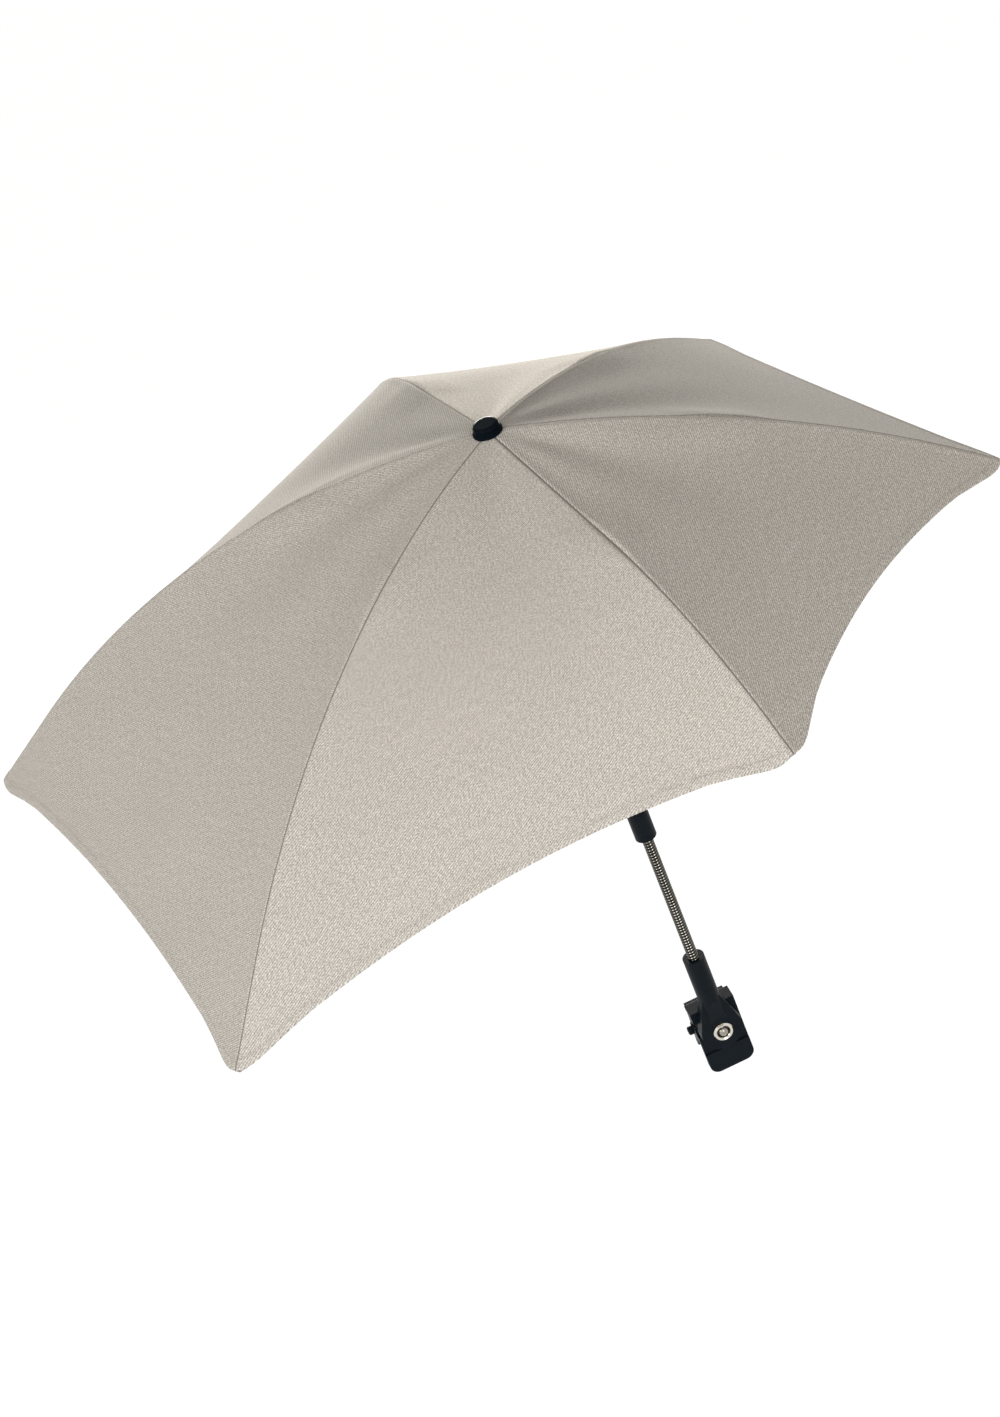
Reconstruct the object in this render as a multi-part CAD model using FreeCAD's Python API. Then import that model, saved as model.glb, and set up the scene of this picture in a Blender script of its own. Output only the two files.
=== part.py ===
import FreeCAD, Part
import math
import os

V = FreeCAD.Vector

# Driving dimensions in millimetres; origin at the middle of the gripped tube, Z up the pole
TUBE_R = 9.0
POLE_Y = -19.5
SWIVEL_Z = -5.0
APEX_Z = 580.5
HEADING = -170.0

# Canopy ribs: angle from the heading, reach and drop of the tip, slope at the crown, straight run at
# the crown, straight run at the tip, and the place of the stretcher's clip along the rib
RIB_TYPES = {
    "front": {"angle": 30.0, "reach": 448.0, "drop": 188.0, "start": 1.0, "straight": 9.6, "run": 70.0,
              "clip": 150.0},
    "side": {"angle": 91.5, "reach": 343.0, "drop": 112.0, "start": 9.0, "straight": 150.0, "run": 20.0,
             "clip": 150.0},
    "rear": {"angle": 150.0, "reach": 332.0, "drop": 135.0, "start": 10.0, "straight": 9.5, "run": 20.0,
             "clip": 158.0},
}
# Droop and turn that the stretched cloth gives single ribs, in degrees
EXTRA_DROOP = {"side_right": 3.5, "rear_left": -1.5, "rear_right": 3.0}
EXTRA_TURN = {"side_right": -2.0, "rear_right": 7.8}
RIB_R = 1.75
RIB_PIVOT_R = 12.0
TIP_R = 2.3
TIP_LEN = 15.8
TIP_SHY = 2.2
TIP_FLOOR = 1.5

# Fabric
FABRIC_LIFT = 5.0
FABRIC_T = 1.2
FABRIC_HUB_R = 9.0
FABRIC_GAP = 0.3
HUB_CLEAR = 0.3
SEAM_JOIN = 0.005
PANEL_SAG = 4.0
# Hollow of the hem, as a share of the rib, on the panel that follows each rib counterclockwise
HEM_DIP = {"front_right": 0.035, "front_left": 0.065, "side_left": 0.070, "rear_left": 0.030,
           "rear_right": 0.085, "side_right": 0.085}

# Folding linkage
CLIP_DROP = 5.5
CLIP_TOP = 2.1
CLIP_LEN = 10.0
CLIP_W = 7.0
CLIP_HEEL = 2.6
CLIP_WEB = 2.4
RUNNER_DROP = 105.0
STRETCHER_R = 1.5
STRETCHER_EYE_R = 2.4
STRETCHER_BLADE = 9.0
NOSE_GAP = 6.0
NOSE_BLADE = 36.0
BLADE_LAP = 1.0
WIRE_R = 0.75
EYE_T = 2.6
EYE_H = 3.0
SLOT_W = 2.8
EYE_R = 2.3
EYE_BORE = 0.85
PIN_R = 1.0
PIN_HEAD_R = 1.7
PIN_HEAD_T = 0.8
RUN_FIT = 0.05

# Pole, ferrule and flexible neck
POLE_R = 5.0
POLE_BORE = 4.0
FERRULE_R = 8.5
FERRULE_Z = 199.0
FERRULE_LEN = 42.0
FERRULE_WEB = 4.0
FERRULE_HOLE = 2.0
FERRULE_EDGE = 1.0
NECK_R = 4.5
NECK_BORE = 2.5
NECK_PITCH = 2.7
NECK_GROOVE = 0.5
NECK_STEP = 0.2
NECK_IN = 15.0
ARM_TOP = 72.0
NECK_END = 32.0
NECK_LOW_BEND = ARM_TOP + NECK_END
NECK_HIGH_BEND = FERRULE_Z - NECK_END

# Crown, runner and cap
CROWN_R = 17.0
CROWN_BELOW = 5.0
CROWN_ABOVE = 1.3
CROWN_FLAT_R = 13.4
CROWN_RIM_DROP = 2.5
CROWN_SLEEVE_R = 8.0
CROWN_SLEEVE = 14.0
SLOT_FLOOR_R = 8.6
ROSETTE_R = 8.4
RIM_CLEAR = 1.2
RUNNER_BELOW = 4.5
RUNNER_ABOVE = 4.0
RUNNER_SLEEVE_R = 8.2
RUNNER_SLEEVE = 22.0
RUNNER_LEAD = 0.8
STOP_R = 1.0
STOP_HALF = 7.5
CAP_FLANGE_R = 11.0
CAP_FLANGE_T = 1.6
CAP_R = 9.5
CAP_H = 7.6
CAP_EDGE = 2.0
CAP_PLUG = 22.0

# Clamp jaws and pads
PLATE_HALF = 19.0
PLATE_FRONT = -14.5
PLATE_BACK = -10.5
PLATE_TOP = 14.8
TAB_TOP = -29.5
TAB_BOTTOM = -50.5
TAB_CORNER = 8.0
TAB_STEP = 1.5
JAW_PART = 0.5
REAR_HALF = 17.0
REAR_BACK = 15.0
REAR_TOP = 4.2
REAR_TAB_END = (26.5, -46.0)
PAD_T = 1.5
PAD_HALF = 17.0
FRONT_PAD = {"start": 96.0, "sweep": 124.0}
REAR_PAD = {"start": -65.0, "sweep": 85.0}

# Clamp hinge, spring, arm and rivet
HINGE_Y = 4.5
HINGE_Z = -15.5
HINGE_R = 2.5
HINGE_HEAD_R = 3.7
HINGE_HEAD_T = 4.4
HINGE_HEAD_ROUND = 1.6
KNUCKLE_R = 6.0
KNUCKLE_GAP = 0.3
LUG_IN = 12.2
LUG_OUT = 18.5
SPRING_R = 4.1
SPRING_WIRE = 0.8
SPRING_TURNS = 4.5
SPRING_PITCH = 2.2
SPRING_HALF = 6.5
SPRING_SEAT = 0.1
SPRING_LEG_Z = -27.0
LEG_ROOM = 7.0
ARM_R = 8.8
DISC_R = 17.5
WEB_RISE = 4.2
WEB_TOP = 34.0
WEB_INSET = 0.9
RIVET_R = 8.2
RIVET_RING = 4.0
RIVET_DOME = 4.4
SHANK_R = 3.0
TAIL_R = 2.4
TAIL_LEN = 1.0
NUT_R = 4.6
NUT_T = 1.6
NUT_WALL = 1.35

# Places that follow from the sizes, and a length past any edge for the ends of cuts
PIVOT_Z = APEX_Z - FABRIC_LIFT
RUNNER_Z = PIVOT_Z - RUNNER_DROP
STOP_Z = RUNNER_Z + RUNNER_ABOVE + STOP_R + RUN_FIT
JAW_R = TUBE_R + PAD_T
EYE_REACH = math.hypot(CROWN_R - RIB_PIVOT_R, CROWN_BELOW) + RIM_CLEAR
ARM_BACK = PLATE_FRONT - RUN_FIT
ARM_FRONT = 2 * POLE_Y - PLATE_FRONT
RIVET_FACE = ARM_FRONT - RUN_FIT
NUT_SEAT = PLATE_FRONT + NUT_WALL
BEYOND = 60.0


def cyl(radius, start, end):
    axis = end - start
    return Part.makeCylinder(radius, axis.Length, start, axis)


def box(x0, x1, y0, y1, z0, z1):
    return Part.makeBox(x1 - x0, y1 - y0, z1 - z0, V(x0, y0, z0))


def side_plate(points, x0, x1):
    corners = [V(x0, y, z) for y, z in points]
    face = Part.Face(Part.makePolygon(corners + corners[:1]))
    return face.extrude(V(x1 - x0, 0, 0))


def turned(points):
    corners = [V(r, 0, z) for r, z in points]
    face = Part.Face(Part.makePolygon(corners + corners[:1]))
    return face.revolve(V(0, 0, 0), V(0, 0, 1), 360)


def on_pole(shape):
    moved = shape.copy()
    moved.translate(V(0, POLE_Y, 0))
    return moved


# Rib geometry in the plane of a rib: radius from the pole, height above the rib pivots
def slope(angle):
    turn = math.radians(angle)
    return math.cos(turn), -math.sin(turn)


# A straight run, an arc and a straight run; the arc is the one that brings the tip to its reach and drop
def rib_curve(kind):
    spec = RIB_TYPES[kind]
    into = slope(spec["start"])
    out = spec["reach"] - RIB_PIVOT_R - spec["straight"] * into[0]
    up = -spec["drop"] - spec["straight"] * into[1]
    ahead, below = out * into[0] + up * into[1], out * into[1] - up * into[0]
    half = below / (ahead + spec["run"])
    bend = 2 * math.atan(half)
    radius = (ahead * (1 + half * half) - spec["run"] * (1 - half * half)) / (2 * half)
    return {"first": spec["straight"], "radius": radius, "arc": radius * bend, "run": spec["run"],
            "start": spec["start"], "end": spec["start"] + math.degrees(bend)}


def rib_length(curve):
    return curve["first"] + curve["arc"] + curve["run"]


def rib_point(curve, s, droop=0.0):
    into, out = slope(curve["start"]), slope(curve["end"])
    along = min(s, curve["first"])
    r, z = along * into[0], along * into[1]
    angle = curve["start"]
    if s > curve["first"]:
        swept = min(s - curve["first"], curve["arc"])
        angle = curve["start"] + math.degrees(swept / curve["radius"])
        a, b = math.radians(curve["start"]), math.radians(angle)
        r += curve["radius"] * (math.sin(b) - math.sin(a))
        z += curve["radius"] * (math.cos(b) - math.cos(a))
    if s > curve["first"] + curve["arc"]:
        rest = s - curve["first"] - curve["arc"]
        r, z = r + rest * out[0], z + rest * out[1]
    c, d = math.cos(math.radians(droop)), math.sin(math.radians(droop))
    return RIB_PIVOT_R + r * c + z * d, z * c - r * d, angle + droop


def in_plane(r, z, side=0.0):
    return V(r, side, PIVOT_Z + z)


def rib_list():
    ribs = {}
    for kind, spec in RIB_TYPES.items():
        for side, sign in (("left", 1), ("right", -1)):
            name = kind + "_" + side
            ribs[name] = {"name": name, "kind": kind, "curve": rib_curve(kind),
                          "droop": EXTRA_DROOP.get(name, 0.0),
                          "angle": HEADING + sign * spec["angle"] + EXTRA_TURN.get(name, 0.0)}
    return ribs


def set_rib(shape, rib):
    moved = shape.copy()
    moved.rotate(V(0, 0, 0), V(0, 0, 1), rib["angle"])
    return on_pole(moved)


# Rib rod with a flat eye on the crown ring
def rib_rod(rib):
    curve, droop = rib["curve"], rib["droop"]
    total = rib_length(curve) - TIP_SHY - TIP_R - TIP_FLOOR

    def at(s):
        r, z, angle = rib_point(curve, s, droop)
        return in_plane(r, z)

    begin, knee, toe = EYE_REACH, curve["first"], curve["first"] + curve["arc"]
    edges = []
    if knee > begin + 0.1:
        edges.append(Part.makeLine(at(begin), at(knee)))
        from_s = knee
    else:
        from_s = begin
    edges.append(Part.Arc(at(from_s), at((from_s + toe) / 2), at(toe)).toShape())
    edges.append(Part.makeLine(at(toe), at(total)))
    tangent = at(begin + 0.5) - at(begin)
    ring = Part.Wire(Part.makeCircle(RIB_R, at(begin), tangent))
    rod = Part.Wire(edges).makePipeShell([ring], True, False)
    eye = cyl(EYE_R, in_plane(RIB_PIVOT_R, 0, -EYE_T / 2), in_plane(RIB_PIVOT_R, 0, EYE_T / 2))
    neck = Part.makeBox(EYE_REACH + 2 * BLADE_LAP, EYE_T, EYE_H, V(0, -EYE_T / 2, -EYE_H / 2))
    neck.rotate(V(0, 0, 0), V(0, 1, 0), curve["start"] + droop)
    neck.translate(in_plane(RIB_PIVOT_R, 0))
    bore = cyl(EYE_BORE, in_plane(RIB_PIVOT_R, 0, -EYE_T), in_plane(RIB_PIVOT_R, 0, EYE_T))
    return rod.fuse([eye, neck]).cut(bore).removeSplitter()


# Rounded cap pressed on the outer end of a rib
def rib_tip(rib):
    curve, droop = rib["curve"], rib["droop"]
    total = rib_length(curve)
    r0, z0, angle = rib_point(curve, total - TIP_SHY - TIP_LEN, droop)
    r1, z1, angle = rib_point(curve, total - TIP_SHY - TIP_R, droop)
    r2, z2, angle = rib_point(curve, total - TIP_SHY - TIP_R - TIP_FLOOR, droop)
    inner, outer = in_plane(r0, z0), in_plane(r1, z1)
    body = cyl(TIP_R, inner, outer).fuse(Part.makeSphere(TIP_R, outer))
    return body.cut(cyl(RIB_R, inner, in_plane(r2, z2))).removeSplitter()


def clip_frame(rib):
    r, z, angle = rib_point(rib["curve"], RIB_TYPES[rib["kind"]]["clip"], rib["droop"])
    down = math.radians(angle)
    pin = (r - CLIP_DROP * math.sin(down), z - CLIP_DROP * math.cos(down))
    return (r, z), pin, angle


# Bracket on a rib that carries the stretcher pin between two cheeks
def rib_clip(rib, rod):
    (r, z), pin, angle = clip_frame(rib)
    foot = -CLIP_DROP - CLIP_HEEL
    block = box(-CLIP_LEN / 2, CLIP_LEN / 2, -CLIP_W / 2, CLIP_W / 2, foot, CLIP_TOP)
    block = block.cut(box(-CLIP_LEN, CLIP_LEN, -SLOT_W / 2, SLOT_W / 2, foot - CLIP_HEEL, -CLIP_WEB))
    block = block.cut(cyl(PIN_R, V(0, -CLIP_W, -CLIP_DROP), V(0, CLIP_W, -CLIP_DROP)))
    block.rotate(V(0, 0, 0), V(0, 1, 0), angle)
    block.translate(in_plane(r, z))
    return block.cut(rod).removeSplitter()


def rib_pin(rib):
    (r, z), pin, angle = clip_frame(rib)
    seat, end = CLIP_W / 2, CLIP_W / 2 + PIN_HEAD_T
    shank = cyl(PIN_R, in_plane(*pin, -end), in_plane(*pin, end))
    heads = [cyl(PIN_HEAD_R, in_plane(*pin, side * seat), in_plane(*pin, side * end)) for side in (-1, 1)]
    return shank.fuse(heads).removeSplitter()


# Stretcher from its pin on the rib to just short of the runner ring
def stretcher(rib):
    (r, z), pin, angle = clip_frame(rib)
    near, far = in_plane(*pin), in_plane(RIB_PIVOT_R, -RUNNER_DROP)
    line = far - near
    line.normalize()
    tilt = math.degrees(math.atan2(-line.z, line.x))
    stop = far - line * NOSE_GAP
    length = (stop - near).Length
    half, tip = EYE_T / 2, length - STRETCHER_R
    eye = cyl(STRETCHER_EYE_R, V(0, -half, 0), V(0, half, 0))
    blade = box(0, STRETCHER_BLADE, -half, half, -STRETCHER_R, STRETCHER_R)
    rod = cyl(STRETCHER_R, V(STRETCHER_BLADE - BLADE_LAP, 0, 0), V(length - NOSE_BLADE + BLADE_LAP, 0, 0))
    nose = box(length - NOSE_BLADE, tip, -half, half, -STRETCHER_R, STRETCHER_R)
    end = cyl(STRETCHER_R, V(tip, -half, 0), V(tip, half, 0))
    arm = rod.fuse([eye, blade, nose, end])
    arm = arm.cut(cyl(PIN_R + RUN_FIT, V(0, -EYE_T, 0), V(0, EYE_T, 0))).removeSplitter()
    arm.rotate(V(0, 0, 0), V(0, 1, 0), tilt)
    arm.translate(near)
    return arm


# Fabric: one gore per rib, from mid panel to mid panel
def seam_point(rib, t):
    begin = (FABRIC_HUB_R - RIB_PIVOT_R) / math.cos(math.radians(rib["curve"]["start"]))
    s = begin + t * (rib_length(rib["curve"]) - begin)
    r, z, angle = rib_point(rib["curve"], s, rib["droop"])
    turn = math.radians(rib["angle"])
    return V(r * math.cos(turn), POLE_Y + r * math.sin(turn), APEX_Z + min(z, 0.0))


def panel_point(rib, other, t, share, dip):
    ends = (seam_point(other, t) - seam_point(rib, t)).Length
    v = share * (0.5 - FABRIC_GAP / 2 / ends)
    hollow = 4 * v * (1 - v)
    pulled = t * (1 - dip * hollow)
    point = seam_point(rib, pulled) * (1 - v) + seam_point(other, pulled) * v
    return point - V(0, 0, PANEL_SAG * hollow * math.sin(math.pi * t))


def half_gore(rib, other, dip):
    steps = (0.0, 0.1, 0.25, 0.42, 0.6, 0.8, 1.0)
    grid = [[panel_point(rib, other, t, share / 3, dip) for share in range(4)] for t in steps]
    surface = Part.BSplineSurface()
    surface.interpolate(grid)
    return surface.toShape().extrude(V(0, 0, -FABRIC_T))


def canopy_gore(rib, ribs):
    order = sorted(ribs.values(), key=lambda item: item["angle"] % 360)
    index = order.index(rib)
    before, after = order[index - 1], order[(index + 1) % len(order)]
    halves = [half_gore(rib, before, HEM_DIP[before["name"]]), half_gore(rib, after, HEM_DIP[rib["name"]])]
    return halves[0].fuse([halves[1]], SEAM_JOIN).removeSplitter()


# Crown and runner share a slotted collar on a wire ring
def slotted_collar(level, below, above, bore, ribs):
    low, high = level - below, level + above
    collar = cyl(CROWN_R, V(0, 0, low), V(0, 0, high))
    for rib in ribs.values():
        slot = box(SLOT_FLOOR_R, CROWN_R + 1, -SLOT_W / 2, SLOT_W / 2, low - 1, high + 1)
        slot.rotate(V(0, 0, 0), V(0, 0, 1), rib["angle"])
        collar = collar.cut(slot)
    collar = collar.cut(Part.makeTorus(RIB_PIVOT_R, WIRE_R, V(0, 0, level)))
    return collar.cut(cyl(bore, V(0, 0, low - 1), V(0, 0, high + 1)))


def crown(ribs):
    low, top = PIVOT_Z - CROWN_SLEEVE, PIVOT_Z + CROWN_ABOVE
    collar = slotted_collar(PIVOT_Z, CROWN_BELOW, CROWN_ABOVE, POLE_R, ribs)
    sleeve = turned([(POLE_R, low), (CROWN_SLEEVE_R, low), (CROWN_SLEEVE_R, top), (POLE_R, top)])
    rim = turned([(CROWN_FLAT_R, top), (CROWN_R, top - CROWN_RIM_DROP), (CROWN_R + 1, top - CROWN_RIM_DROP),
                  (CROWN_R + 1, top + 1), (CROWN_FLAT_R, top + 1)])
    return on_pole(collar.fuse(sleeve).cut(rim).removeSplitter())


def runner(ribs):
    bore, low, top = POLE_R + RUN_FIT, RUNNER_Z - RUNNER_SLEEVE, RUNNER_Z + RUNNER_ABOVE
    collar = slotted_collar(RUNNER_Z, RUNNER_BELOW, RUNNER_ABOVE, bore, ribs)
    sleeve = turned([(bore, low), (RUNNER_SLEEVE_R - RUNNER_LEAD, low),
                     (RUNNER_SLEEVE_R, low + 2 * RUNNER_LEAD), (RUNNER_SLEEVE_R, top), (bore, top)])
    return on_pole(collar.fuse(sleeve).removeSplitter())


def wire_ring(level):
    return on_pole(Part.makeTorus(RIB_PIVOT_R, WIRE_R, V(0, 0, level)))


def runner_stop():
    return on_pole(cyl(STOP_R, V(-STOP_HALF, 0, STOP_Z), V(STOP_HALF, 0, STOP_Z)))


def pole_tube():
    low, high = V(0, 0, FERRULE_Z + NECK_IN + FERRULE_WEB + RUN_FIT), V(0, 0, PIVOT_Z + CROWN_ABOVE)
    tube = on_pole(cyl(POLE_R, low, high).cut(cyl(POLE_BORE, low, high)))
    return tube.cut(runner_stop())


def canopy_rosette():
    low = PIVOT_Z + CROWN_ABOVE
    high = APEX_Z - FABRIC_T - 2 * HUB_CLEAR
    return on_pole(turned([(POLE_BORE, low), (ROSETTE_R, low), (ROSETTE_R, high), (POLE_BORE, high)]))


def finial_cap():
    low = APEX_Z + HUB_CLEAR
    step, top = low + CAP_FLANGE_T, low + CAP_H
    outline = [(0, low - CAP_PLUG), (POLE_BORE, low - CAP_PLUG), (POLE_BORE, low), (CAP_FLANGE_R, low),
               (CAP_FLANGE_R, step), (CAP_R, step + 0.3 * CAP_EDGE), (CAP_R, top - 0.9 * CAP_EDGE),
               (CAP_R - 0.3 * CAP_EDGE, top - 0.3 * CAP_EDGE), (CAP_R - CAP_EDGE, top), (0, top)]
    return on_pole(turned(outline))


# Flexible neck in three lengths, each a bored tube with rounded-off ribs
def neck_length(z0, z1, plain_low, plain_high):
    start, stop = z0 + plain_low, z1 - plain_high
    count = int(round((stop - start) / NECK_PITCH))
    pitch = (stop - start) / count
    stations = [(NECK_R, z0), (NECK_R, start)] if plain_low else []
    for k in range(count):
        for share, depth in ((0.0, NECK_GROOVE), (0.25, 0.0), (0.7, 0.0), (0.95, NECK_GROOVE)):
            stations.append((NECK_R - depth, start + (k + share) * pitch))
    stations += [(NECK_R - NECK_GROOVE, stop)]
    stations += [(NECK_R, stop + NECK_STEP), (NECK_R, z1)] if plain_high else []
    stations = [(r, z + NECK_STEP if plain_low and z == start and r < NECK_R else z) for r, z in stations]
    rings = [Part.Wire(Part.makeCircle(r, V(0, 0, z), V(0, 0, 1))) for r, z in stations]
    outside = Part.makeLoft(rings, True, True)
    return on_pole(outside.cut(cyl(NECK_BORE, V(0, 0, z0 - 1), V(0, 0, z1 + 1))))


def gooseneck_ferrule():
    top, web, seat = FERRULE_Z + FERRULE_LEN, FERRULE_Z + NECK_IN, FERRULE_Z + NECK_IN + FERRULE_WEB
    bore, edge = POLE_R + RUN_FIT, FERRULE_EDGE
    outline = [(NECK_R, FERRULE_Z), (FERRULE_R - edge / 2, FERRULE_Z), (FERRULE_R, FERRULE_Z + edge / 2),
               (FERRULE_R, top - edge), (FERRULE_R - edge, top), (bore, top), (bore, seat),
               (FERRULE_HOLE, seat), (FERRULE_HOLE, web), (NECK_R, web)]
    return on_pole(turned(outline))


# Swivel arm: round socket above, flat disc round the rivet below
def swivel_arm():
    clear, foot = ARM_R + 0.2, SWIVEL_Z + WEB_RISE
    tube = cyl(ARM_R, V(0, POLE_Y, SWIVEL_Z), V(0, POLE_Y, ARM_TOP))
    fade = [(ARM_FRONT, -BEYOND), (ARM_FRONT, foot + 6.8), (POLE_Y - clear, SWIVEL_Z + WEB_TOP + 1),
            (-BEYOND, SWIVEL_Z + WEB_TOP + 1), (-BEYOND, -BEYOND)]
    heel = [(ARM_BACK, -BEYOND), (ARM_BACK, PLATE_TOP + 9.2), (POLE_Y + clear, PLATE_TOP + 19.2),
            (BEYOND, PLATE_TOP + 19.2), (BEYOND, -BEYOND)]
    disc = cyl(DISC_R, V(0, ARM_FRONT, SWIVEL_Z), V(0, ARM_BACK, SWIVEL_Z))
    wide, slim = math.sqrt(DISC_R ** 2 - WEB_RISE ** 2), ARM_R - WEB_INSET
    corners = [V(x, ARM_FRONT, z) for x, z in ((-wide, foot), (wide, foot), (slim, SWIVEL_Z + WEB_TOP),
                                               (-slim, SWIVEL_Z + WEB_TOP), (-wide, foot))]
    web = Part.Face(Part.makePolygon(corners)).extrude(V(0, ARM_BACK - ARM_FRONT, 0))
    arm = tube.cut(side_plate(fade, -BEYOND, BEYOND)).fuse([disc, web]).cut(side_plate(heel, -BEYOND, BEYOND))
    arm = arm.cut(cyl(SHANK_R + RUN_FIT, V(0, -BEYOND, SWIVEL_Z), V(0, 0, SWIVEL_Z)))
    return arm.cut(cyl(NECK_R, V(0, POLE_Y, ARM_TOP - NECK_IN), V(0, POLE_Y, ARM_TOP + 1))).removeSplitter()


# Rivet with a flared ring round a domed middle, and the nut behind the jaw
def pivot_rivet():
    dome, shank = RIVET_R - RIVET_RING, NUT_SEAT - RIVET_FACE
    outline = [(0, shank + TAIL_LEN), (0, -RIVET_DOME), (0.4 * dome, 0.3 - RIVET_DOME),
               (0.76 * dome, 1.2 - RIVET_DOME), (dome, 2.5 - RIVET_DOME), (dome + 0.6, -1.5),
               (dome + 1.5, -2.6), (RIVET_R - 1.6, -3.2), (RIVET_R - 0.8, -3.0), (RIVET_R, -1.8), (RIVET_R, 0),
               (SHANK_R, 0), (SHANK_R, shank), (TAIL_R, shank), (TAIL_R, shank + TAIL_LEN)]
    shape = turned(outline)
    shape.rotate(V(0, 0, 0), V(1, 0, 0), -90)
    shape.translate(V(0, RIVET_FACE, SWIVEL_Z))
    return shape


def swivel_axis(radius, y0, y1):
    return cyl(radius, V(0, y0, SWIVEL_Z), V(0, y1, SWIVEL_Z))


def pivot_nut():
    body = swivel_axis(NUT_R, NUT_SEAT, NUT_SEAT + NUT_T)
    return body.cut(swivel_axis(TAIL_R, NUT_SEAT - 1, NUT_SEAT + TAIL_LEN))


# Clamp jaws, pads, hinge pin and spring
def bore_cut(radius):
    return cyl(radius, V(-BEYOND, 0, 0), V(BEYOND, 0, 0))


def hinge_axis(radius, x0, x1):
    return cyl(radius, V(x0, HINGE_Y, HINGE_Z), V(x1, HINGE_Y, HINGE_Z))


def front_jaw():
    cheek = PLATE_BACK + 5.0
    plate = box(-PLATE_HALF, PLATE_HALF, PLATE_FRONT, PLATE_BACK, TAB_TOP - 2, 0)
    grip = side_plate([(PLATE_FRONT, HINGE_Z - 0.5), (PLATE_FRONT, PLATE_TOP), (-JAW_PART, PLATE_TOP),
                       (-JAW_PART, 0), (cheek, 0), (cheek, HINGE_Z + 2.5), (PLATE_BACK, HINGE_Z - 0.5)],
                      -PLATE_HALF, PLATE_HALF)
    tab = box(-PLATE_HALF, PLATE_HALF, PLATE_FRONT - TAB_STEP, PLATE_BACK, TAB_BOTTOM, TAB_TOP)
    corners = [e for e in tab.Edges if abs(e.CenterOfMass.z - TAB_BOTTOM) < 0.1
               and abs(abs(e.CenterOfMass.x) - PLATE_HALF) < 0.1]
    jaw = plate.fuse([grip, tab.makeFillet(TAB_CORNER, corners)])
    lug = [(PLATE_BACK - 1, HINGE_Z + 5.5), (HINGE_Y, HINGE_Z + KNUCKLE_R), (HINGE_Y, HINGE_Z - KNUCKLE_R),
           (PLATE_BACK - 1, HINGE_Z - 9.5)]
    for x0, x1 in ((-LUG_OUT, -LUG_IN), (LUG_IN, LUG_OUT)):
        jaw = jaw.fuse([side_plate(lug, x0, x1), hinge_axis(KNUCKLE_R, x0, x1)])
    jaw = jaw.cut(bore_cut(JAW_R))
    notch = box(-BEYOND, 5.0 - PLATE_HALF, PLATE_FRONT - 3, PLATE_BACK + 0.5, SWIVEL_Z - 6, SWIVEL_Z + 9)
    jaw = jaw.cut(notch)
    jaw = jaw.cut(hinge_axis(HINGE_R, -BEYOND, BEYOND))
    jaw = jaw.cut([swivel_axis(SHANK_R, RIVET_FACE, NUT_SEAT), swivel_axis(NUT_R, NUT_SEAT, 0)])
    return jaw.removeSplitter()


def rear_jaw():
    end_y, end_z = REAR_TAB_END
    upper = side_plate([(JAW_PART, HINGE_Z + 6.5), (JAW_PART, HINGE_Z), (HINGE_Y + 6.5, HINGE_Z - 2.5),
                        (REAR_BACK, HINGE_Z + 5.5), (REAR_BACK, REAR_TOP), (HINGE_Y + 3.5, REAR_TOP)],
                       -REAR_HALF, REAR_HALF)
    tab = side_plate([(HINGE_Y + 2.5, HINGE_Z - 4.5), (HINGE_Y + 4.5, HINGE_Z + 2.5),
                      (REAR_BACK, HINGE_Z + 4.5), (end_y, end_z), (end_y - 1.5, end_z - 3),
                      (end_y - 5, end_z - 2)], -REAR_HALF, REAR_HALF)
    inner = LUG_IN - KNUCKLE_GAP
    jaw = upper.fuse([tab, hinge_axis(KNUCKLE_R, -inner, inner)])
    for x0, x1 in ((-BEYOND, -inner), (inner, BEYOND)):
        jaw = jaw.cut(hinge_axis(KNUCKLE_R + 0.5, x0, x1))
    leg_room = side_plate([(HINGE_Y + 0.5, HINGE_Z + 0.5), (HINGE_Y + LEG_ROOM, HINGE_Z + 0.5),
                           (HINGE_Y + LEG_ROOM, SPRING_LEG_Z - 1), (HINGE_Y + 0.5, SPRING_LEG_Z - 1)],
                          -SPRING_HALF, SPRING_HALF)
    jaw = jaw.cut([hinge_axis(KNUCKLE_R + 0.3, -SPRING_HALF, SPRING_HALF), bore_cut(JAW_R), leg_room])
    return jaw.cut(hinge_axis(HINGE_R + RUN_FIT, -BEYOND, BEYOND)).removeSplitter()


def jaw_pad(start, sweep):
    def at(radius, share):
        turn = math.radians(start + sweep * share)
        return V(-PAD_HALF, radius * math.cos(turn), radius * math.sin(turn))

    outer = Part.Arc(at(JAW_R, 0), at(JAW_R, 0.5), at(JAW_R, 1)).toShape()
    inner = Part.Arc(at(TUBE_R, 1), at(TUBE_R, 0.5), at(TUBE_R, 0)).toShape()
    ends = [Part.makeLine(at(JAW_R, 1), at(TUBE_R, 1)), Part.makeLine(at(TUBE_R, 0), at(JAW_R, 0))]
    return Part.Face(Part.Wire([outer, ends[0], inner, ends[1]])).extrude(V(2 * PAD_HALF, 0, 0))


def hinge_pin():
    seat = -LUG_OUT - 0.1
    head = hinge_axis(HINGE_HEAD_R, seat - HINGE_HEAD_T, seat)
    outer = [e for e in head.Edges if abs(e.CenterOfMass.x - seat + HINGE_HEAD_T) < 0.1]
    head = head.makeFillet(HINGE_HEAD_ROUND, outer)
    return hinge_axis(HINGE_R, seat - 0.4, LUG_OUT - 0.2).fuse(head).removeSplitter()


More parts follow.
